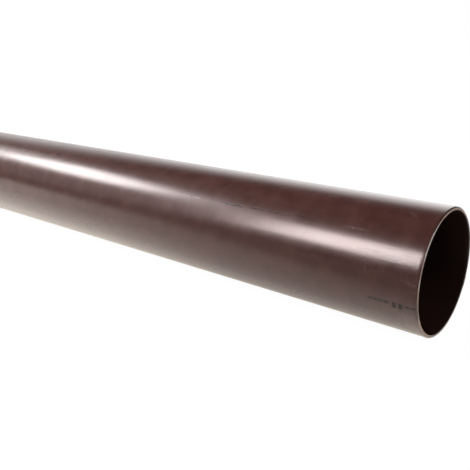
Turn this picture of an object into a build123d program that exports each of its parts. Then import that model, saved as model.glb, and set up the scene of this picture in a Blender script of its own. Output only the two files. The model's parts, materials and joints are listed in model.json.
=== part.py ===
"""Round PVC-U rainwater downpipe: one extruded tube, both ends sawn square and deburred outside."""
from build123d import *
import os

# Driving dimensions, in millimetres
OUTSIDE_DIAMETER = 110.0
WALL_THICKNESS = 2.7
STOCK_LENGTH = 2000.0
DEBURR_CHAMFER = 1.0

# The pipe lies along X on the ground at Z = 0, and its origin is under the middle of its length
outside_radius = OUTSIDE_DIAMETER / 2
bore_radius = outside_radius - WALL_THICKNESS
section_plane = Plane(origin=(0, 0, outside_radius), x_dir=(0, 1, 0), z_dir=(1, 0, 0))

# One length of extruded stock: a plain round tube
with BuildPart() as downpipe:
    with BuildSketch(section_plane):
        Circle(outside_radius)
        Circle(bore_radius, mode=Mode.SUBTRACT)
    extrude(amount=STOCK_LENGTH / 2, both=True)

    # The saw leaves each end square, and a knife takes the sharp outer corner off
    outer_rims = downpipe.edges().filter_by(GeomType.CIRCLE).group_by(SortBy.RADIUS)[-1]
    chamfer(outer_rims, length=DEBURR_CHAMFER)

os.makedirs("parts", exist_ok=True)
downpipe.part.label = "downpipe"
export_step(downpipe.part, "parts/downpipe.step")
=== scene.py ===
"""A length of brown PVC-U downpipe, lying on a white studio floor.

The pipe is one extruded tube. Its mesh is spun from a half section, its outer corners are cut back by
knife strokes, and its skin, its sawn ends and its bore each have a finish of their own.
"""
import json
import logging
import math
from dataclasses import dataclass, field
from enum import Enum

import bmesh
import bpy
from bpy.types import Material, Node, NodeSocket, NodeTree, Object, World
from mathutils import Matrix, Vector, noise


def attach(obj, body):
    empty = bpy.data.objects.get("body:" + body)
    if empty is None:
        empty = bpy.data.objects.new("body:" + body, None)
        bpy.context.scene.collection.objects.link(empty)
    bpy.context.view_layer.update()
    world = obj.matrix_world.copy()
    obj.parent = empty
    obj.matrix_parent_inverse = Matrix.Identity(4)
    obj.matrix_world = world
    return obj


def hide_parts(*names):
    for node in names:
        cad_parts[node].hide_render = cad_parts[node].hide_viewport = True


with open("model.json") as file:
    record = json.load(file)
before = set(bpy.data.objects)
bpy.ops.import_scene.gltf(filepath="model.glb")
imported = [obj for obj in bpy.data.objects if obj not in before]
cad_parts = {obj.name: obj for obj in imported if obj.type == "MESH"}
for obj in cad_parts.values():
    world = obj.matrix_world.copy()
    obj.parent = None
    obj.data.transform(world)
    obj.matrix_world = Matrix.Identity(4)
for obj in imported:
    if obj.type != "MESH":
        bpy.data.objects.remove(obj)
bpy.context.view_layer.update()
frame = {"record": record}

LOG = logging.getLogger("downpipe")
MM = 0.001
FULL_TURN = 2 * math.pi
PIECE = "downpipe_tube"
NODE = "downpipe"
BODY = "root"
WHITE = (1, 1, 1, 1)
BLACK = (0, 0, 0, 1)

# The refractive index of rigid PVC
PVC_IOR = 1.54
# How a pattern is scaled along the pipe to draw it out into lines, fifty times as long as they are wide
DRAWN_OUT = 0.02
# Octaves of noise in a small pattern, and in a larger one
SMALL_DETAIL = 2.0
LARGE_DETAIL = 3.0
# A map range that eases in and out
SMOOTH = {"interpolation_type": "SMOOTHSTEP"}
# Nearly all of a noise's values lie between these
NOISE_SPAN = (0.3, 0.7)


class Zone(Enum):
    """The surfaces of the tube, and the material index of each."""

    SKIN = 0
    SAWN = 1
    PARED = 2
    BORE = 3


def linear(hex_colour: str) -> tuple[float, float, float, float]:
    """Turns an sRGB hex colour into the linear one that a shader takes.

    Args:
        hex_colour: six hex digits after a hash sign.

    Returns:
        Red, green, blue and an alpha of one.
    """
    shares = [int(hex_colour[i:i + 2], 16) / 255 for i in (1, 3, 5)]
    red, green, blue = [s / 12.92 if s <= 0.04045 else ((s + 0.055) / 1.055) ** 2.4 for s in shares]
    return red, green, blue, 1.0


def add_node(tree: NodeTree, kind: str, inputs: dict | None = None, **settings) -> Node:
    """Adds one node to a tree, with its settings and links.

    Args:
        tree: the node tree.
        kind: Blender's name for the type of shader node, such as Math for ShaderNodeMath.
        inputs: what each input gets, by its name or number: a value, a socket, or a node's first output.
        **settings: the node's own properties, such as operation.

    Returns:
        The node.
    """
    node = tree.nodes.new("ShaderNode" + kind)
    for name, value in settings.items():
        setattr(node, name, value)
    for key, value in (inputs or {}).items():
        if isinstance(value, Node):
            value = value.outputs[0]
        if isinstance(value, NodeSocket):
            tree.links.new(value, node.inputs[key])
        else:
            node.inputs[key].default_value = value
    return node


def new_material(name: str) -> tuple[Material, NodeTree]:
    """Makes a material with an empty node tree.

    Args:
        name: the finish that the material stands for.

    Returns:
        The material and its tree.
    """
    material = bpy.data.materials.new(name)
    material.use_nodes = True
    material.node_tree.nodes.clear()
    return material, material.node_tree


def seen_directly(tree: NodeTree) -> Node:
    """Marks the camera's own rays, and those that come through something clear.

    Args:
        tree: the node tree.

    Returns:
        A value of one for such a ray, and zero for any other.
    """
    path = add_node(tree, "LightPath")
    return add_node(
        tree, "Math", {0: path.outputs["Is Camera Ray"], 1: path.outputs["Is Transmission Ray"]},
        operation="MAXIMUM",
    )


@dataclass(frozen=True)
class TubeSizes:
    """The tube's own sizes, in metres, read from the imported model's mounts."""

    length: float
    outside_radius: float
    bore_radius: float
    deburr: float

    @classmethod
    def from_frame(cls) -> "TubeSizes":
        """Reads the sizes that the spigot and the waterway state."""
        dims = {mount["name"]: mount["dims"] for mount in frame["record"]["mounts"]}
        length = dims["waterway"]["length_mm"]
        full_wall = dims["front_spigot"]["length_mm"]
        return cls(
            length=length * MM,
            outside_radius=dims["front_spigot"]["r_mm"] * MM,
            bore_radius=dims["waterway"]["r_mm"] * MM,
            deburr=(length - full_wall) / 2 * MM,
        )


@dataclass(frozen=True)
class Mark:
    """A mark on the skin: an ellipse on the unrolled surface, in millimetres.

    The distances are from the front end along the pipe, and round it from the top line towards the front.
    """

    along: float
    around: float
    half_length: float
    half_width: float
    tilt: float = 0.0
    strength: float = 1.0


@dataclass(frozen=True)
class FleckPatch:
    """Flecks of one size, which lie within one mark.

    The size is in millimetres along the pipe and round it. A fleck starts at the first limit of its noise and
    is full at the second, and the flecks fade out over the edge, a share of the mark.
    """

    size_mm: tuple[float, float]
    limits: tuple[float, float]
    within: Mark
    edge: float


@dataclass(frozen=True)
class Relief:
    """One layer of a surface's relief, drawn out along the pipe where its last value is under one."""

    size_mm: float
    height_mm: float
    detail: float
    drawn_out: float = 1.0


@dataclass(frozen=True)
class SkinGrid:
    """The shader's coordinates on the tube: millimetres from the front end and round from the top line."""

    tree: NodeTree
    sizes: TubeSizes
    dash_edge: tuple[float, float] = (0.85, 1.1)

    def centred(self) -> Node:
        """Object coordinates in metres, from the middle of the front end."""
        coordinates = add_node(self.tree, "TexCoord")
        middle = (-self.sizes.length / 2, 0, -self.sizes.outside_radius)
        return add_node(self.tree, "Mapping", {0: coordinates.outputs["Object"], "Location": middle})

    def unrolled(self, centred: Node) -> Node:
        """Unrolls the surface.

        Args:
            centred: coordinates from the middle of the front end.

        Returns:
            A vector of millimetres along the pipe, millimetres round it, and zero.
        """
        tree = self.tree
        split = add_node(tree, "SeparateXYZ", {0: centred})
        along = add_node(tree, "Math", {0: split.outputs["X"], 1: -1 / MM}, operation="MULTIPLY")
        front = add_node(tree, "Math", {0: split.outputs["Y"], 1: -1.0}, operation="MULTIPLY")
        angle = add_node(tree, "Math", {0: front, 1: split.outputs["Z"]}, operation="ARCTAN2")
        radius_mm = self.sizes.outside_radius / MM
        around = add_node(tree, "Math", {0: angle, 1: radius_mm}, operation="MULTIPLY")
        return add_node(tree, "CombineXYZ", {0: along, 1: around})

    def within(self, unrolled: Node, mark: Mark) -> Node:
        """Measures from the middle of a mark, in its own half sizes.

        Args:
            unrolled: the unrolled coordinates.
            mark: the mark.

        Returns:
            The coordinates, in which the mark's edge is at a distance of one.
        """
        return add_node(
            self.tree, "Mapping",
            {0: unrolled, "Location": (mark.along, mark.around, 0),
             "Rotation": (0, 0, math.radians(mark.tilt)), "Scale": (mark.half_length, mark.half_width, 1)},
            vector_type="TEXTURE",
        )

    def spot(self, unrolled: Node, mark: Mark, edge: float) -> Node:
        """Masks one mark.

        Args:
            unrolled: the unrolled coordinates.
            mark: the ellipse.
            edge: share of the ellipse over which the mark fades out.

        Returns:
            A value that is the mark's strength inside, and zero outside.
        """
        distance = add_node(self.tree, "VectorMath", {0: self.within(unrolled, mark)}, operation="LENGTH")
        return add_node(
            self.tree, "MapRange",
            {0: distance.outputs["Value"], 1: 1 - edge, 2: 1.0, 3: mark.strength, 4: 0.0},
            **SMOOTH,
        )

    def dash(self, unrolled: Node, mark: Mark) -> Node:
        """Masks one square-cornered dash of ink.

        Args:
            unrolled: the unrolled coordinates.
            mark: the dash, with its half sizes.

        Returns:
            A value that is the dash's strength inside, and zero outside.
        """
        tree = self.tree
        away = add_node(tree, "VectorMath", {0: self.within(unrolled, mark)}, operation="ABSOLUTE")
        split = add_node(tree, "SeparateXYZ", {0: away})
        furthest = add_node(tree, "Math", {0: split.outputs["X"], 1: split.outputs["Y"]}, operation="MAXIMUM")
        full, none = self.dash_edge
        return add_node(tree, "MapRange", {0: furthest, 1: full, 2: none, 3: mark.strength, 4: 0.0})

    def flecks(self, unrolled: Node, size_mm: tuple[float, float], limits: tuple[float, float]) -> Node:
        """Masks scattered flecks of one size, all over the surface.

        Args:
            unrolled: the unrolled coordinates.
            size_mm: about how long a fleck is along the pipe and round it.
            limits: the noise at which a fleck starts, and at which it is full.

        Returns:
            A value of one in the flecks, and zero between them.
        """
        long, wide = size_mm
        scaled = add_node(self.tree, "Mapping", {0: unrolled, "Scale": (1 / long, 1 / wide, 1)})
        # A noise at a scale of a half turns from a fleck to a gap about once in every size
        grain = add_node(self.tree, "TexNoise", {0: scaled, "Scale": 0.5, "Detail": SMALL_DETAIL})
        return add_node(self.tree, "MapRange", {0: grain, 1: limits[0], 2: limits[1]})

    def patch(self, unrolled: Node, patch: FleckPatch) -> Node:
        """Masks one patch of flecks.

        Args:
            unrolled: the unrolled coordinates.
            patch: the flecks, and the mark that they lie within.

        Returns:
            The mask.
        """
        flecks = self.flecks(unrolled, patch.size_mm, patch.limits)
        place = self.spot(unrolled, patch.within, patch.edge)
        return add_node(self.tree, "Math", {0: flecks, 1: place}, operation="MULTIPLY")

    def together(self, masks: list[Node]) -> Node:
        """Joins masks, keeping the stronger one where they cross.

        Args:
            masks: the values to join.

        Returns:
            Their greatest value.
        """
        joined = masks[0]
        for mask in masks[1:]:
            joined = add_node(self.tree, "Math", {0: joined, 1: mask}, operation="MAXIMUM")
        return joined


@dataclass(frozen=True)
class ExtrudedSkin:
    """Rigid PVC-U, brown all through, with the gloss of the extruder's sizing sleeve.

    The eye sees a smooth dark gloss with soft-edged highlights, faint lines drawn along the pipe by the
    sleeve, and dull scuffs where it has been handled. The grain and the lines are finer on a real pipe, and
    here are as coarse as they need to be to show.
    """

    sizes: TubeSizes
    colour: str = "#4D2C27"
    faded_colour: str = "#5D3A34"
    scuff_colour: str = "#98817D"
    # The scratches' dark colour is painted shade in their grooves
    gouge_and_painted_shade_colour: str = "#24130F"
    ink_colour: str = "#140A07"
    gloss_tint: str = "#FFF3F1"
    roughness: float = 0.24
    roughness_drift: float = 0.02
    scuff_roughness: float = 0.45
    ink_roughness: float = 0.7
    blotch_mm: float = 45.0
    cloud_mm: float = 16.0
    grit_mm: float = 1.6
    mottle_limits: tuple[float, float] = (0.75, 1.25)

    # Long ripples, a peel, fine grain and the sleeve's lines
    reliefs: tuple[Relief, ...] = (
        Relief(size_mm=60.0, height_mm=0.05, detail=1.0, drawn_out=0.35),
        Relief(size_mm=9.0, height_mm=0.022, detail=4.0),
        Relief(size_mm=2.4, height_mm=0.006, detail=SMALL_DETAIL),
        Relief(size_mm=2.2, height_mm=0.003, detail=SMALL_DETAIL, drawn_out=DRAWN_OUT),
    )
    groove_depth_mm: float = 0.04

    # The scuffs near the front end, in their order from the top line down
    rubs: tuple[Mark, ...] = (
        Mark(24, 22, 9, 2.6, tilt=-35, strength=0.16),
        Mark(62, 47, 16, 2.0, strength=0.3),
        Mark(30, 63, 26, 3.0, strength=0.25),
        Mark(8, 80.8, 9, 2.2, tilt=-12, strength=0.3),
        Mark(4, 86.4, 6, 1.4, tilt=-4, strength=0.2),
        Mark(9, 113, 15, 10, strength=0.6),
        Mark(5, 126, 14, 11, strength=1.2),
    )
    rub_edge: float = 0.9

    # Handling ticks, specks of dust, and nicks along the highlight
    pale_flecks: tuple[FleckPatch, ...] = (
        FleckPatch((1.6, 3.0), (0.56, 0.68), Mark(36, 74, 42, 26, strength=0.05), edge=0.8),
        FleckPatch((1.5, 1.3), (0.68, 0.74), Mark(70, 62, 85, 40, strength=0.09), edge=0.7),
        FleckPatch((5.0, 0.8), (0.55, 0.62), Mark(238, 49.0, 34, 1.6, strength=0.2), edge=0.5),
    )
    dark_ticks: FleckPatch = FleckPatch(
        (1.6, 3.6), (0.57, 0.7), Mark(40, 72, 36, 16, strength=0.35), edge=0.8
    )
    pits: FleckPatch = FleckPatch((2.6, 0.9), (0.45, 0.7), Mark(22, 61, 46, 14, strength=0.45), edge=0.7)

    # A broken scratch along the highlight, and hair lines in the gloss by the front end
    scratches: tuple[Mark, ...] = (
        Mark(165, 47.8, 82, 0.65, strength=0.95), Mark(182, 48.3, 32, 1.1, strength=1.0),
        Mark(120, 46.9, 30, 0.4, strength=0.6), Mark(18, 60.6, 16, 0.35, strength=0.5),
        Mark(26, 57.2, 12, 0.3, strength=0.4), Mark(44, 62.5, 15, 0.3, strength=0.4),
        Mark(9, 57.6, 6, 0.3, strength=0.4),
    )
    scratch_edge: float = 0.7
    scratch_dash_mm: tuple[float, float] = (7.0, 1.5)
    scratch_dash_limits: tuple[float, float] = (0.4, 0.5)
    scratch_bend_mm: float = 14.0
    scratch_wander_mm: float = 1.0

    # A plain row of printed dashes, where such a pipe has its line of print
    tall_dashes: tuple[float, ...] = (14.8, 20.2)
    short_dashes: tuple[float, ...] = (4.4, 9.4, 26.4, 31.2, 36.0, 40.8)
    ink_wear_limits: tuple[float, float] = (0.3, 0.5)
    least_ink: float = 0.85

    def ink_dashes(self) -> tuple[Mark, ...]:
        """The row of dashes, as marks."""
        return (
            *(Mark(along, 102.0, 1.8, 2.9) for along in self.tall_dashes),
            *(Mark(along, 101.0, 1.8, 1.1) for along in self.short_dashes),
        )

    def build(self) -> Material:
        """Makes the material."""
        material, tree = new_material("extruded_gloss_pvcu")
        grid = SkinGrid(tree, self.sizes)
        centred = grid.centred()
        unrolled = grid.unrolled(centred)
        drawn = add_node(tree, "Mapping", {0: centred, "Scale": (DRAWN_OUT, 1, 1)})
        noises = (
            (centred, self.grit_mm, SMALL_DETAIL), (centred, self.cloud_mm, LARGE_DETAIL),
            (drawn, self.blotch_mm, LARGE_DETAIL),
        )
        grit, clouds, blotches = [
            add_node(tree, "TexNoise", {0: place, "Scale": 1 / (size_mm * MM), "Detail": detail})
            for place, size_mm, detail in noises
        ]
        pale = self.pale_wear(grid, unrolled, grit)
        dark = self.dark_wear_and_painted_shade(grid, unrolled)
        ink = self.worn_ink(grid, unrolled, grit)
        grooves = grid.together([dark, grid.patch(unrolled, self.pits)])

        mottle = add_node(tree, "Math", {0: blotches, 1: clouds}, operation="ADD")
        low, high = self.mottle_limits
        shade = add_node(tree, "MapRange", {0: mottle, 1: low, 2: high})
        colour = add_node(
            tree, "Mix", {0: shade, 6: linear(self.colour), 7: linear(self.faded_colour)},
            data_type="RGBA",
        )
        # The dark marks' colour is painted shade in the grooves of scratches
        for mask, laid_on in ((pale, self.scuff_colour), (dark, self.gouge_and_painted_shade_colour), (ink, self.ink_colour)):
            colour = add_node(
                tree, "Mix", {0: mask, 6: colour.outputs[2], 7: linear(laid_on)}, data_type="RGBA"
            )

        rough = add_node(
            tree, "MapRange",
            {0: clouds, 1: NOISE_SPAN[0], 2: NOISE_SPAN[1],
             3: self.roughness - self.roughness_drift, 4: self.roughness + self.roughness_drift},
        )
        for mask, laid_on in ((pale, self.scuff_roughness), (ink, self.ink_roughness)):
            rough = add_node(tree, "Mix", {0: mask, 2: rough, 3: laid_on}, data_type="FLOAT")
        shader = add_node(
            tree, "BsdfPrincipled",
            {"Base Color": colour.outputs[2], "Roughness": rough, "IOR": PVC_IOR,
             "Normal": self.relief(tree, centred, grooves), "Specular Tint": linear(self.gloss_tint)},
        )
        add_node(tree, "OutputMaterial", {"Surface": shader})
        return material

    def relief(self, tree: NodeTree, centred: Node, grooves: Node) -> Node:
        """Shapes the gloss with its layers of relief and with what is scratched into it.

        Args:
            tree: the material's node tree.
            centred: coordinates from the middle of the front end.
            grooves: the mask of what is scratched into the skin.

        Returns:
            The bumped normal.
        """
        normal = None
        for layer in self.reliefs:
            place = centred
            if layer.drawn_out < 1:
                place = add_node(tree, "Mapping", {0: centred, "Scale": (layer.drawn_out, 1, 1)})
            height = add_node(
                tree, "TexNoise",
                {0: place, "Scale": 1 / (layer.size_mm * MM), "Detail": layer.detail},
            )
            under = {"Normal": normal} if normal else {}
            normal = add_node(
                tree, "Bump",
                {"Height": height, "Distance": layer.height_mm * MM, "Strength": 1.0, **under},
            )
        return add_node(
            tree, "Bump",
            {"Height": grooves, "Distance": self.groove_depth_mm * MM, "Strength": 1.0, "Normal": normal},
            invert=True,
        )

    def pale_wear(self, grid: SkinGrid, unrolled: Node, grit: Node) -> Node:
        """Masks what has paled the skin: scuffs, handling ticks, specks and nicks.

        Args:
            grid: the coordinates on the tube.
            unrolled: the unrolled coordinates.
            grit: fine noise that breaks the scuffs up.

        Returns:
            The mask.
        """
        rubs = grid.together([grid.spot(unrolled, mark, self.rub_edge) for mark in self.rubs])
        rubs = add_node(grid.tree, "Math", {0: rubs, 1: grit}, operation="MULTIPLY")
        return grid.together([rubs, *(grid.patch(unrolled, patch) for patch in self.pale_flecks)])

    def dark_wear_and_painted_shade(self, grid: SkinGrid, unrolled: Node) -> Node:
        """Masks the dark marks: a broken scratch along the pipe, hair lines in the gloss, and ticks.

        Their dark colour is painted shade in their grooves.

        Args:
            grid: the coordinates on the tube.
            unrolled: the unrolled coordinates.

        Returns:
            The mask.
        """
        tree = grid.tree
        bends = add_node(
            tree, "TexNoise", {0: unrolled, "Scale": 1 / self.scratch_bend_mm, "Detail": SMALL_DETAIL}
        )
        aside = add_node(
            tree, "MapRange",
            {0: bends, 1: NOISE_SPAN[0], 2: NOISE_SPAN[1],
             3: -self.scratch_wander_mm, 4: self.scratch_wander_mm},
        )
        shift = add_node(tree, "CombineXYZ", {1: aside})
        wandering = add_node(tree, "VectorMath", {0: unrolled, 1: shift}, operation="ADD")
        track = grid.together([grid.spot(wandering, mark, self.scratch_edge) for mark in self.scratches])
        dashes = grid.flecks(unrolled, self.scratch_dash_mm, self.scratch_dash_limits)
        scratch = add_node(tree, "Math", {0: track, 1: dashes}, operation="MULTIPLY")
        return grid.together([scratch, grid.patch(unrolled, self.dark_ticks)])

    def worn_ink(self, grid: SkinGrid, unrolled: Node, grit: Node) -> Node:
        """Masks the printed dashes, with the small gaps that wear leaves in ink.

        Args:
            grid: the coordinates on the tube.
            unrolled: the unrolled coordinates.
            grit: fine noise.

        Returns:
            The mask.
        """
        ink = grid.together([grid.dash(unrolled, mark) for mark in self.ink_dashes()])
        worn, whole = self.ink_wear_limits
        left = add_node(grid.tree, "MapRange", {0: grit, 1: worn, 2: whole, 3: self.least_ink, 4: 1.0})
        return add_node(grid.tree, "Math", {0: ink, 1: left}, operation="MULTIPLY")


@dataclass(frozen=True)
class RimPlace:
    """A place on a rim: degrees from the top towards the front, reach in millimetres, and strength."""

    angle: float
    reach: float
    strength: float


@dataclass(frozen=True)
class SawnFace:
    """Rigid PVC-U where a saw and a knife have cut it.

    The cut is paler and duller than the skin, because it whitens the plastic, and the saw leaves fine
    parallel lines on it. Its colour is darkened on the lower back and on the right of the rim, as painted
    shade, and lightened to near white at two places on its left, as whitened burrs with a painted highlight.
    The lines are as coarse as they need to be to show.
    """

    sizes: TubeSizes
    colour: str = "#AC7C68"
    pale_colour: str = "#DBAE98"
    # Near white: whitened burrs, with a painted highlight where the rim's left side catches the light
    burr_and_highlight_colour: str = "#FFF0E6"
    # Painted shade on the lower back and on the right of the rim
    painted_shade_colour: str = "#4A2F29"
    burrs_and_highlights: tuple[RimPlace, ...] = (RimPlace(46, 20, 1.0), RimPlace(84, 5, 0.8))
    painted_shade_places: tuple[RimPlace, ...] = (RimPlace(207, 52, 1.0), RimPlace(108, 12, 0.4), RimPlace(-82, 44, 0.9))
    even_share: float = 0.6
    roughness: float = 0.42
    saw_line_mm: float = 0.9
    saw_line_height_mm: float = 0.02
    saw_line_strength: float = 0.6
    saw_line_distortion: float = 1.5
    saw_tilt: float = 20.0
    fray_mm: float = 4.0

    def build(self) -> Material:
        """Makes the material."""
        material, tree = new_material("sawn_pvcu")
        coordinates = add_node(tree, "TexCoord")
        tilted = add_node(
            tree, "Mapping",
            {0: coordinates.outputs["Object"], "Rotation": (math.radians(self.saw_tilt), 0, 0)},
        )
        lines = add_node(
            tree, "TexWave",
            {0: tilted, "Scale": 1 / (self.saw_line_mm * MM) / FULL_TURN,
             "Distortion": self.saw_line_distortion, "Detail": SMALL_DETAIL},
            bands_direction="Z",
        )
        fray = add_node(
            tree, "TexNoise", {0: tilted, "Scale": 1 / (self.fray_mm * MM), "Detail": LARGE_DETAIL}
        )
        shade = add_node(tree, "Math", {0: lines.outputs["Fac"], 1: fray}, operation="MULTIPLY")
        colour = add_node(
            tree, "Mix", {0: shade, 6: linear(self.colour), 7: linear(self.pale_colour)},
            data_type="RGBA",
        )
        grid = SkinGrid(tree, self.sizes)
        # Pale places: whitened burrs with a painted highlight; dark places: painted shade
        for places, laid_on in ((self.burrs_and_highlights, self.burr_and_highlight_colour), (self.painted_shade_places, self.painted_shade_colour)):
            mask = grid.together([self.near_place(grid, place) for place in places])
            colour = add_node(
                tree, "Mix", {0: mask, 6: colour.outputs[2], 7: linear(laid_on)}, data_type="RGBA"
            )
        bump = add_node(
            tree, "Bump",
            {"Height": lines.outputs["Fac"], "Distance": self.saw_line_height_mm * MM,
             "Strength": self.saw_line_strength},
        )
        shader = add_node(
            tree, "BsdfPrincipled",
            {"Base Color": colour.outputs[2], "Roughness": self.roughness, "IOR": PVC_IOR, "Normal": bump},
        )
        add_node(tree, "OutputMaterial", {"Surface": shader})
        return material

    def near_place(self, grid: SkinGrid, place: RimPlace) -> Node:
        """Masks the sawn face round one place on the rim, on both ends alike.

        Args:
            grid: the coordinates on the tube.
            place: the place, its reach and its strength.

        Returns:
            The mask, which is even over a share of the reach and then fades out.
        """
        angle = math.radians(place.angle)
        radius = (self.sizes.outside_radius + self.sizes.bore_radius) / 2
        middle = (0.0, -math.sin(angle) * radius, math.cos(angle) * radius)
        across = add_node(grid.tree, "VectorMath", {0: grid.centred(), 1: (0, 1, 1)}, operation="MULTIPLY")
        away = add_node(grid.tree, "VectorMath", {0: across, 1: middle}, operation="DISTANCE")
        reach = place.reach * MM
        return add_node(
            grid.tree, "MapRange",
            {0: away.outputs["Value"], 1: self.even_share * reach, 2: reach, 3: place.strength, 4: 0.0},
            **SMOOTH,
        )


@dataclass(frozen=True)
class KnifeCut:
    """Rigid PVC-U where a knife has pared the corner off.

    The blade slides, so its cut is smooth and keeps the plastic's own brown, a little duller than the skin.
    """

    colour: str = "#4A2E28"
    pale_colour: str = "#5E4038"
    roughness: float = 0.3
    chatter_mm: float = 3.0

    def build(self) -> Material:
        """Makes the material."""
        material, tree = new_material("pared_pvcu")
        coordinates = add_node(tree, "TexCoord")
        chatter = add_node(
            tree, "TexNoise",
            {0: coordinates.outputs["Object"], "Scale": 1 / (self.chatter_mm * MM), "Detail": SMALL_DETAIL},
        )
        colour = add_node(
            tree, "Mix", {0: chatter, 6: linear(self.colour), 7: linear(self.pale_colour)},
            data_type="RGBA",
        )
        shader = add_node(
            tree, "BsdfPrincipled",
            {"Base Color": colour.outputs[2], "Roughness": self.roughness, "IOR": PVC_IOR},
        )
        add_node(tree, "OutputMaterial", {"Surface": shader})
        return material


@dataclass(frozen=True)
class BoreSkin:
    """Rigid PVC-U inside the bore, which cooled in air instead of against a sleeve.

    The eye sees it a little duller than the outside, with long soft flow lines. Its colour is darker than the
    skin's, as painted shade inside the bore.
    """

    sizes: TubeSizes
    # Darker than the skin's colour: painted shade inside the bore
    colour: str = "#35211E"
    roughness: float = 0.33
    flow_line_mm: float = 5.0
    flow_line_height_mm: float = 0.02

    def build(self) -> Material:
        """Makes the material."""
        material, tree = new_material("air_cooled_pvcu_bore_with_painted_shade")
        centred = SkinGrid(tree, self.sizes).centred()
        drawn = add_node(tree, "Mapping", {0: centred, "Scale": (DRAWN_OUT, 1, 1)})
        lines = add_node(
            tree, "TexNoise",
            {0: drawn, "Scale": 1 / (self.flow_line_mm * MM), "Detail": SMALL_DETAIL},
        )
        bump = add_node(
            tree, "Bump",
            {"Height": lines, "Distance": self.flow_line_height_mm * MM, "Strength": 1.0},
        )
        shader = add_node(
            tree, "BsdfPrincipled",
            {"Base Color": linear(self.colour), "Roughness": self.roughness, "IOR": PVC_IOR, "Normal": bump},
        )
        add_node(tree, "OutputMaterial", {"Surface": shader})
        return material


@dataclass(frozen=True)
class KnifeStroke:
    """One stroke of the deburring knife round a rim, in degrees from the top towards the front."""

    start: float
    end: float
    depth_share: float
    run_out: float = 5.0

    def cut(self, angle: float) -> float:
        """Works out how deep this stroke cuts at one place on the rim.

        Args:
            angle: the place, in degrees.

        Returns:
            The depth as a share of the nominal cut, and zero outside the stroke.
        """
        middle, half = (self.start + self.end) / 2, (self.end - self.start) / 2
        away = abs((angle - middle + 180) % 360 - 180)
        share = min(1.0, max(0.0, (half - away) / self.run_out))
        return self.depth_share * share * share * (3 - 2 * share)


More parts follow.
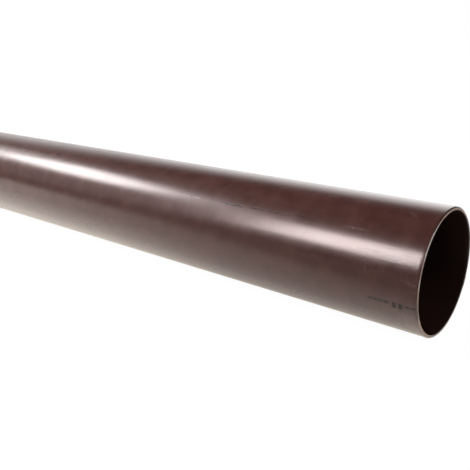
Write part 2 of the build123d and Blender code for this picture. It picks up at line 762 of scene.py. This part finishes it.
@dataclass
class Downpipe:
    """One length of round pipe, sawn at both ends, with its outer corners cut back by a knife.

    Where a value is given for each end, 1 is the front end and -1 is the back end.
    """

    sizes: TubeSizes
    steps_round: int = 384
    end_zone: float = 30 * MM
    end_pitch: float = 2.5 * MM
    skin_pitch: float = 30 * MM
    bore_pitch: float = 100 * MM
    cuts_across_wall: int = 3
    same_place: float = 0.01 * MM
    rim_margin: float = 0.1 * MM
    edge_rounding: float = 0.12 * MM
    sharp_from: float = 25.0
    strokes: tuple[KnifeStroke, ...] = (
        KnifeStroke(-112, 41, 1.0),
        KnifeStroke(66, 118, 0.55),
        KnifeStroke(98, 117, 1.0),
        KnifeStroke(146, 243, 1.0),
    )
    uncut_share: float = 0.12
    stroke_offset: dict[int, float] = field(default_factory=lambda: {1: 0.0, -1: 115.0})
    saw_lean: float = 1.5 * MM
    longest_side: dict[int, float] = field(default_factory=lambda: {1: 248.0, -1: 35.0})
    saw_wander: float = 0.12 * MM
    saw_wander_pitch: float = 40 * MM
    # How far a face leans towards the pipe's axis on a sawn end, on its inner edge, and on a knife cut
    sawn_slope: float = 0.9
    inner_edge_slope: float = 0.3
    pared_slope: float = 0.2
    mesh: bmesh.types.BMesh = field(default_factory=bmesh.new)

    @property
    def mid_wall(self) -> float:
        """The radius of the middle of the wall."""
        return (self.sizes.outside_radius + self.sizes.bore_radius) / 2

    def draw_half_section(self) -> None:
        """Draws the outline of the wall above the axis, with more points near the ends."""
        s = self.sizes
        half, out, bore, cut = s.length / 2, s.outside_radius, s.bore_radius, s.deburr
        outline = [
            (-half, bore), (-half, out - cut), (-half + cut, out), (-half + self.end_zone, out),
            (half - self.end_zone, out), (half - cut, out), (half, out - cut), (half, bore),
            (half - self.end_zone, bore), (-half + self.end_zone, bore),
        ]
        corners = [self.mesh.verts.new((x, 0, out + r)) for x, r in outline]
        edges = [self.mesh.edges.new((a, b)) for a, b in zip(corners, corners[1:] + corners[:1])]
        for edge in edges:
            a, b = edge.verts
            run = abs(a.co.x - b.co.x)
            on_skin = (a.co.z + b.co.z) / 2 - out > self.mid_wall
            if run > 2 * self.end_zone:
                cuts = round(run / (self.skin_pitch if on_skin else self.bore_pitch))
            elif run > 2 * cut:
                cuts = round(run / self.end_pitch)
            elif run == 0:
                cuts = self.cuts_across_wall
            else:
                continue
            bmesh.ops.subdivide_edges(self.mesh, edges=[edge], cuts=cuts)

    def spin_wall(self) -> None:
        """Turns the half section once round the pipe's axis and closes the seam."""
        bmesh.ops.spin(
            self.mesh, geom=self.mesh.verts[:] + self.mesh.edges[:], cent=(0, 0, self.sizes.outside_radius),
            axis=(1, 0, 0), dvec=(0, 0, 0), angle=FULL_TURN, steps=self.steps_round, use_merge=True,
        )
        bmesh.ops.remove_doubles(self.mesh, verts=self.mesh.verts[:], dist=self.same_place)
        bmesh.ops.recalc_face_normals(self.mesh, faces=self.mesh.faces[:])

    def knife_cut(self, angle: float) -> float:
        """Works out how deep the knife went at one place on the rim.

        Args:
            angle: the place, in degrees from the top towards the front.

        Returns:
            The share of the nominal cut, which is least where the knife was lifted between two strokes.
        """
        return max(self.uncut_share, *(stroke.cut(angle) for stroke in self.strokes))

    def deburr_rims(self) -> None:
        """Moves the corners of both rims to where the knife left them."""
        s = self.sizes
        half = s.length / 2
        for end, offset in self.stroke_offset.items():
            for vert in self.mesh.verts:
                if end * vert.co.x < half - s.deburr - self.rim_margin:
                    continue
                up, front = vert.co.z - s.outside_radius, -vert.co.y
                radius = math.hypot(up, front)
                if radius < self.mid_wall:
                    continue
                share = self.knife_cut(math.degrees(math.atan2(front, up)) + offset)
                if end * vert.co.x < half - s.deburr / 2:
                    vert.co.x = end * (half - s.deburr * share)
                    continue
                kept = s.outside_radius - s.deburr * share - s.bore_radius
                nominal = s.outside_radius - s.deburr - s.bore_radius
                wanted = s.bore_radius + (radius - s.bore_radius) * kept / nominal
                vert.co.y *= wanted / radius
                vert.co.z = s.outside_radius + up * wanted / radius

    def saw_ends(self) -> None:
        """Lets both sawn faces wander a little, inwards from the true plane."""
        half = self.sizes.length / 2
        for vert in self.mesh.verts:
            if half - abs(vert.co.x) < self.same_place:
                place = Vector((vert.co.x, vert.co.y, vert.co.z)) / self.saw_wander_pitch
                drift = (1 + noise.noise(place)) / 2
                vert.co.x -= math.copysign(self.saw_wander * drift, vert.co.x)

    def lean_ends(self) -> None:
        """Puts both saw cuts a little out of square, by drawing one side of each end back."""
        half = self.sizes.length / 2
        for vert in self.mesh.verts:
            share = (abs(vert.co.x) - (half - self.end_zone)) / self.end_zone
            if share > 0:
                end = int(math.copysign(1, vert.co.x))
                turn = math.atan2(-vert.co.y, vert.co.z - self.sizes.outside_radius)
                back = (1 - math.cos(turn - math.radians(self.longest_side[end]))) / 2
                vert.co.x -= end * self.saw_lean * back * share

    def round_edges(self) -> None:
        """Takes the sharpness off the edges that the saw and the knife left."""
        limit = math.radians(self.sharp_from)
        sharp = [e for e in self.mesh.edges if len(e.link_faces) == 2 and e.calc_face_angle() > limit]
        bmesh.ops.bevel(
            self.mesh, geom=sharp, offset=self.edge_rounding, segments=2, profile=0.5, affect="EDGES",
            material=-1, clamp_overlap=True,
        )

    def zone_of(self, face: bmesh.types.BMFace) -> Zone:
        """Tells which surface of the tube a face belongs to.

        Args:
            face: the face.

        Returns:
            Its surface.
        """
        middle = face.calc_center_median()
        outer = math.hypot(middle.y, middle.z - self.sizes.outside_radius) > self.mid_wall
        slope = abs(face.normal.x)
        if slope > self.sawn_slope or (slope > self.inner_edge_slope and not outer):
            return Zone.SAWN
        if slope > self.pared_slope and outer:
            return Zone.PARED
        return Zone.SKIN if outer else Zone.BORE

    def build(self) -> Object:
        """Makes the tube's object, with its four finishes."""
        self.draw_half_section()
        self.spin_wall()
        self.deburr_rims()
        self.saw_ends()
        self.lean_ends()
        self.round_edges()
        self.mesh.normal_update()
        for face in self.mesh.faces:
            zone = self.zone_of(face)
            face.material_index = zone.value
            face.smooth = zone is not Zone.SAWN
        data = bpy.data.meshes.new(PIECE)
        self.mesh.to_mesh(data)
        self.mesh.free()
        finishes = {
            Zone.SKIN: ExtrudedSkin(self.sizes), Zone.SAWN: SawnFace(self.sizes), Zone.PARED: KnifeCut(),
            Zone.BORE: BoreSkin(self.sizes),
        }
        for zone in Zone:
            data.materials.append(finishes[zone].build())
        tube = bpy.data.objects.new(PIECE, data)
        bpy.context.scene.collection.objects.link(tube)
        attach(tube, BODY)
        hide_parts(NODE)
        return tube


def new_lamp(name: str, width: float, height: float, radiance: float) -> Object:
    """Makes a rectangular lamp that the camera doesn't see.

    Args:
        name: the lamp's name.
        width: its width in metres.
        height: its height in metres.
        radiance: how bright its surface is, where 1 is white.

    Returns:
        The lamp's object, still at the origin.
    """
    light = bpy.data.lights.new(name, "AREA")
    light.shape = "RECTANGLE"
    light.size, light.size_y = width, height
    light.energy = radiance * math.pi * width * height
    lamp = bpy.data.objects.new(name, light)
    lamp.visible_camera = False
    bpy.context.scene.collection.objects.link(lamp)
    return lamp


@dataclass(frozen=True)
class SoftBox:
    """A rectangular studio lamp that faces the pipe. Azimuth is from the pipe's +X towards +Y."""

    name: str
    azimuth: float
    elevation: float
    distance: float
    width: float
    height: float
    radiance: float
    roll: float = 0.0
    diffuse_share: float = 1.0
    in_reflections: bool = True
    gleam_further: float = 1.01

    def build(self, aim: Vector) -> None:
        """Makes the lamp, as one light for every ray and one that only shows in reflections.

        Args:
            aim: the point that it faces.
        """
        self.hang(aim, self.name, self.diffuse_share, self.distance).visible_glossy = self.in_reflections
        if self.diffuse_share < 1:
            behind = self.distance * self.gleam_further
            self.hang(aim, self.name + "_gleam", 1 - self.diffuse_share, behind).visible_diffuse = False

    def hang(self, aim: Vector, name: str, share: float, distance: float) -> Object:
        """Hangs one light in the lamp's place.

        Args:
            aim: the point that it faces.
            name: the light's name.
            share: its share of the lamp's radiance.
            distance: how far from that point it hangs.

        Returns:
            The light's object.
        """
        azimuth, elevation = math.radians(self.azimuth), math.radians(self.elevation)
        flat = math.cos(elevation)
        outward = Vector((flat * math.cos(azimuth), flat * math.sin(azimuth), math.sin(elevation)))
        lamp = new_lamp(name, self.width, self.height, share * self.radiance)
        level = Vector((0, 0, 1)).cross(outward).normalized()
        frame_axes = Matrix((level, outward.cross(level), outward)).transposed()
        turned = frame_axes @ Matrix.Rotation(math.radians(self.roll), 3, "Z")
        lamp.matrix_world = Matrix.Translation(aim + outward * distance) @ turned.to_4x4()
        return lamp


@dataclass(frozen=True)
class StripLamp:
    """A long lamp above the pipe's far stretch, which gives light there but shows in no reflection."""

    place: tuple[float, float, float] = (-0.15, -0.52, 0.90)
    length: float = 1.4
    width: float = 0.3
    radiance: float = 5.2

    def build(self) -> Object:
        """Makes the lamp, level along the pipe and turned to face it."""
        lamp = new_lamp("strip_lamp", self.length, self.width, self.radiance)
        lamp.location = self.place
        lamp.rotation_euler = (math.atan2(-self.place[1], self.place[2]), 0, 0)
        lamp.visible_glossy = False
        return lamp


@dataclass(frozen=True)
class Sheen:
    """A soft patch of light on the studio's walls, in degrees. Azimuth is from the pipe's +X towards +Y."""

    azimuth: float
    elevation: float
    half_width: float
    half_height: float
    radiance: float


@dataclass(frozen=True)
class StudioWalls:
    """What surrounds the lamps: a bright wall behind the pipe, and a dark room elsewhere.

    Azimuths are in degrees from the pipe's +X towards +Y, so that 90 is behind it and 270 in front.
    """

    right_end: tuple[float, float] = (78.0, 100.0)
    left_end: tuple[float, float] = (148.0, 196.0)
    near_radiance: float = 2.22
    far_radiance: float = 1.17
    fall_off: tuple[float, float] = (108.0, 145.0)
    top: tuple[float, float] = (24.0, 46.0)
    top_slope: float = 0.18
    top_slopes_from: float = 115.0
    horizon: tuple[float, float] = (-7.0, -1.0)
    below_horizon: float = 1.0
    dark_room: float = 0.09
    sheens: tuple[Sheen, ...] = (
        Sheen(azimuth=221, elevation=20, half_width=32, half_height=24, radiance=1.0),
        Sheen(azimuth=183, elevation=44, half_width=26, half_height=18, radiance=0.32),
        Sheen(azimuth=182, elevation=30.5, half_width=11, half_height=8.5, radiance=3.1),
    )

    def build(self) -> World:
        """Makes the world: white for the camera, and the studio for every other ray."""
        world = bpy.data.worlds.new("studio")
        world.use_nodes = True
        tree = world.node_tree
        tree.nodes.clear()

        # Which way a ray goes, in degrees
        split = add_node(tree, "SeparateXYZ", {0: add_node(tree, "TexCoord").outputs["Generated"]})
        left, front = [
            add_node(tree, "Math", {0: split.outputs[axis], 1: -1.0}, operation="MULTIPLY")
            for axis in ("X", "Y")
        ]
        turn = add_node(tree, "Math", {0: front, 1: left}, operation="ARCTAN2")
        rise = add_node(tree, "Math", {0: split.outputs["Z"]}, operation="ARCSINE")
        degrees = 180 / math.pi
        azimuth = add_node(tree, "Math", {0: turn, 1: degrees, 2: 180.0}, operation="MULTIPLY_ADD")
        elevation = add_node(tree, "Math", {0: rise, 1: degrees}, operation="MULTIPLY")

        # The bright wall, which is less bright far off and has a sloping top
        start, end = self.fall_off
        wall = add_node(
            tree, "MapRange", {0: azimuth, 1: start, 2: end, 3: self.near_radiance, 4: self.far_radiance}
        )
        slope = self.top_slope
        lowered = add_node(
            tree, "Math", {0: azimuth, 1: slope, 2: -slope * self.top_slopes_from}, operation="MULTIPLY_ADD"
        )
        height = add_node(tree, "Math", {0: elevation, 1: lowered}, operation="ADD")
        edges = ((azimuth, self.right_end, 0.0), (azimuth, self.left_end, 1.0), (height, self.top, 1.0))
        for place, (start, end), share in edges:
            edge = add_node(
                tree, "MapRange", {0: place, 1: start, 2: end, 3: share, 4: 1.0 - share},
                **SMOOTH,
            )
            wall = add_node(tree, "Math", {0: wall, 1: edge}, operation="MULTIPLY")
        wall = add_node(tree, "Math", {0: wall, 1: self.dark_room}, operation="ADD")

        # The soft patches of light
        direction = add_node(tree, "CombineXYZ", {0: azimuth, 1: elevation})
        for sheen in self.sheens:
            local = add_node(
                tree, "Mapping",
                {0: direction, "Location": (sheen.azimuth, sheen.elevation, 0),
                 "Scale": (sheen.half_width, sheen.half_height, 1)},
                vector_type="TEXTURE",
            )
            away = add_node(tree, "VectorMath", {0: local}, operation="LENGTH")
            patch = add_node(
                tree, "MapRange", {0: away.outputs["Value"], 1: 0.0, 2: 1.0, 3: sheen.radiance, 4: 0.0},
                **SMOOTH,
            )
            wall = add_node(tree, "Math", {0: wall, 1: patch}, operation="ADD")

        # Under the horizon the walls end, and all is evenly bright
        low, high = self.horizon
        below = add_node(
            tree, "MapRange", {0: elevation, 1: low, 2: high, 3: self.below_horizon, 4: 0.0},
            **SMOOTH,
        )
        above = add_node(tree, "MapRange", {0: elevation, 1: low, 2: high}, **SMOOTH)
        wall = add_node(tree, "Math", {0: wall, 1: above, 2: below}, operation="MULTIPLY_ADD")
        shown = add_node(tree, "Mix", {0: seen_directly(tree), 2: wall, 3: 1.0}, data_type="FLOAT")
        background = add_node(tree, "Background", {"Color": WHITE, "Strength": shown})
        add_node(tree, "OutputWorld", {"Surface": background})
        bpy.context.scene.world = world
        return world


@dataclass(frozen=True)
class Floor:
    """The white floor that the pipe lies on, with a faint shadow, and a dark room past its near edge.

    Places are in metres from the origin under the middle of the pipe, and a pair is where a change starts and
    where it is full.
    """

    size: float = 30.0
    albedo: float = 0.8
    camera_glow: float = 0.98
    camera_albedo: float = 0.07
    pure_white_from: tuple[float, float] = (1.5, 4.0)
    warmth: str = "#FFF9EB"

    # The glow in reflections, which is brighter beside the pipe except in a dip near its front end
    glossy_glow: float = 0.75
    contact_glow: float = 0.48
    contact_line: float = -0.03
    contact_reach: tuple[float, float] = (0.03, 0.10)
    contact_dip: float = 0.85
    contact_dip_reach: tuple[float, float] = (0.05, 0.25)
    contact_glow_in_dip: float = 0.06

    # Where the floor ends and the dark room starts, and how dark that is
    edge_middle: tuple[float, float] = (0.78, -0.185)
    edge_direction: float = 20.0
    edge_softness: float = 0.07
    dark_share: float = 0.65
    dark_share_diffuse: float = 0.95
    dark_before_mouth: tuple[float, float] = (0.95, 1.10)

    def build(self) -> Object:
        """Makes the floor and its material."""
        mesh = bmesh.new()
        bmesh.ops.create_grid(mesh, x_segments=1, y_segments=1, size=self.size / 2)
        data = bpy.data.meshes.new("floor")
        mesh.to_mesh(data)
        mesh.free()
        data.materials.append(self.paper())
        floor = bpy.data.objects.new("floor", data)
        bpy.context.scene.collection.objects.link(floor)
        return floor

    def paper(self) -> Material:
        """Matt white paper, which also glows a little for the camera and for reflections."""
        material, tree = new_material("matt_white_paper")
        path = add_node(tree, "LightPath")
        position = add_node(tree, "TexCoord").outputs["Object"]
        place = add_node(tree, "SeparateXYZ", {0: position})
        seen = seen_directly(tree)

        # The share of light that is missing, past the floor's near edge and before the pipe's mouth
        across = add_node(
            tree, "Mapping",
            {0: position, "Location": (*self.edge_middle, 0),
             "Rotation": (0, 0, math.radians(self.edge_direction))},
            vector_type="TEXTURE",
        )
        split = add_node(tree, "SeparateXYZ", {0: across})
        past = add_node(
            tree, "MapRange",
            {0: split.outputs["Y"], 1: -self.edge_softness, 2: self.edge_softness, 3: 1.0, 4: 0.0},
            **SMOOTH,
        )
        start, end = self.dark_before_mouth
        before = add_node(tree, "MapRange", {0: place.outputs["X"], 1: start, 2: end})
        before = add_node(tree, "Math", {0: before, 1: path.outputs["Is Diffuse Ray"]}, operation="MULTIPLY")
        past = add_node(tree, "Math", {0: past, 1: before}, operation="MAXIMUM")
        depth = add_node(
            tree, "Mix", {0: path.outputs["Is Glossy Ray"], 2: self.dark_share_diffuse, 3: self.dark_share},
            data_type="FLOAT",
        )
        past = add_node(tree, "Math", {0: past, 1: depth}, operation="MULTIPLY")
        dark = add_node(tree, "Mix", {0: seen, 2: past, 3: 0.0}, data_type="FLOAT")

        # The glow in reflections
        beside, along = [
            add_node(tree, "Math", {0: place.outputs[axis], 1: line}, operation="SUBTRACT")
            for axis, line in (("Y", self.contact_line), ("X", self.contact_dip))
        ]
        beside, along = [add_node(tree, "Math", {0: away}, operation="ABSOLUTE") for away in (beside, along)]
        start, end = self.contact_dip_reach
        most = add_node(
            tree, "MapRange", {0: along, 1: start, 2: end, 3: self.contact_glow_in_dip, 4: self.contact_glow}
        )
        start, end = self.contact_reach
        near = add_node(tree, "MapRange", {0: beside, 1: start, 2: end, 3: 1.0, 4: 0.0}, **SMOOTH)
        near = add_node(tree, "Math", {0: near, 1: most, 2: self.glossy_glow}, operation="MULTIPLY_ADD")
        reflected = add_node(tree, "Math", {0: path.outputs["Is Glossy Ray"], 1: near}, operation="MULTIPLY")

        # The glow for the camera, which is pure white far off
        reach = add_node(tree, "VectorMath", {0: position}, operation="LENGTH")
        start, end = self.pure_white_from
        white = add_node(
            tree, "MapRange", {0: reach.outputs["Value"], 1: start, 2: end, 3: self.camera_glow, 4: 1.0}
        )
        glow = add_node(tree, "Mix", {0: seen, 2: reflected, 3: white}, data_type="FLOAT")
        tint = add_node(tree, "Mix", {0: seen, 6: linear(self.warmth), 7: WHITE}, data_type="RGBA")
        light = add_node(tree, "Emission", {"Color": tint.outputs[2], "Strength": glow})
        shade = add_node(tree, "Mix", {0: seen, 2: self.albedo, 3: self.camera_albedo}, data_type="FLOAT")
        paper = add_node(tree, "BsdfDiffuse", {"Color": shade})
        lit = add_node(tree, "AddShader", {0: paper, 1: light})
        room = add_node(tree, "Emission", {"Color": BLACK, "Strength": 0.0})
        surface = add_node(tree, "MixShader", {0: dark, 1: lit, 2: room})
        add_node(tree, "OutputMaterial", {"Surface": surface})
        return material


@dataclass(frozen=True)
class Studio:
    """The floor, the walls, the lamps and the camera."""

    sizes: TubeSizes
    aim_from_mouth: float = 0.20
    camera_from_mouth: tuple[float, float, float] = (0.1533, -0.4605, 0.1769)
    camera_azimuth: float = 39.24
    camera_elevation: float = 17.62
    lens: float = 45.66
    sensor: float = 36.0
    nearest: float = 0.01
    furthest: float = 100.0
    lamps: tuple[SoftBox, ...] = (
        SoftBox("key_lamp", -114.5, 30.3, 1.81, 0.626, 0.67, radiance=22.3, diffuse_share=0.12),
        SoftBox("far_lamp", -161.0, 32.0, 3.97, 1.206, 0.80, radiance=18.8, roll=3.5),
        SoftBox("fill_panel", -145.3, 36.0, 2.37, 1.254, 0.62, radiance=2.15),
        SoftBox("end_lamp", 4.0, 42.0, 2.0, 1.0, 1.0, radiance=2.4, in_reflections=False),
    )

    def mouth(self) -> Vector:
        """The middle of the pipe's front end."""
        return Vector((self.sizes.length / 2, 0, self.sizes.outside_radius))

    def build(self) -> None:
        """Makes everything round the pipe."""
        Floor().build()
        StudioWalls().build()
        aim = self.mouth() - Vector((self.aim_from_mouth, 0, 0))
        for lamp in self.lamps:
            lamp.build(aim)
        StripLamp().build()
        self.place_camera()
        bpy.context.scene.view_settings.view_transform = "Standard"

    def place_camera(self) -> Object:
        """Puts the camera where the photograph was taken from."""
        data = bpy.data.cameras.new("camera")
        data.lens, data.sensor_width = self.lens, self.sensor
        data.clip_start, data.clip_end = self.nearest, self.furthest
        camera = bpy.data.objects.new("camera", data)
        camera.location = self.mouth() + Vector(self.camera_from_mouth)
        tilt = math.radians(90 - self.camera_elevation)
        camera.rotation_euler = (tilt, 0, math.radians(self.camera_azimuth))
        bpy.context.scene.collection.objects.link(camera)
        bpy.context.scene.camera = camera
        return camera


def main() -> None:
    """Builds the pipe and its studio, in order."""
    logging.basicConfig(level=logging.INFO, format="%(name)s: %(message)s")
    sizes = TubeSizes.from_frame()
    tube = Downpipe(sizes).build()
    LOG.info("%s: %d faces", tube.name, len(tube.data.polygons))
    Studio(sizes).build()


if __name__ == "__main__":
    main()
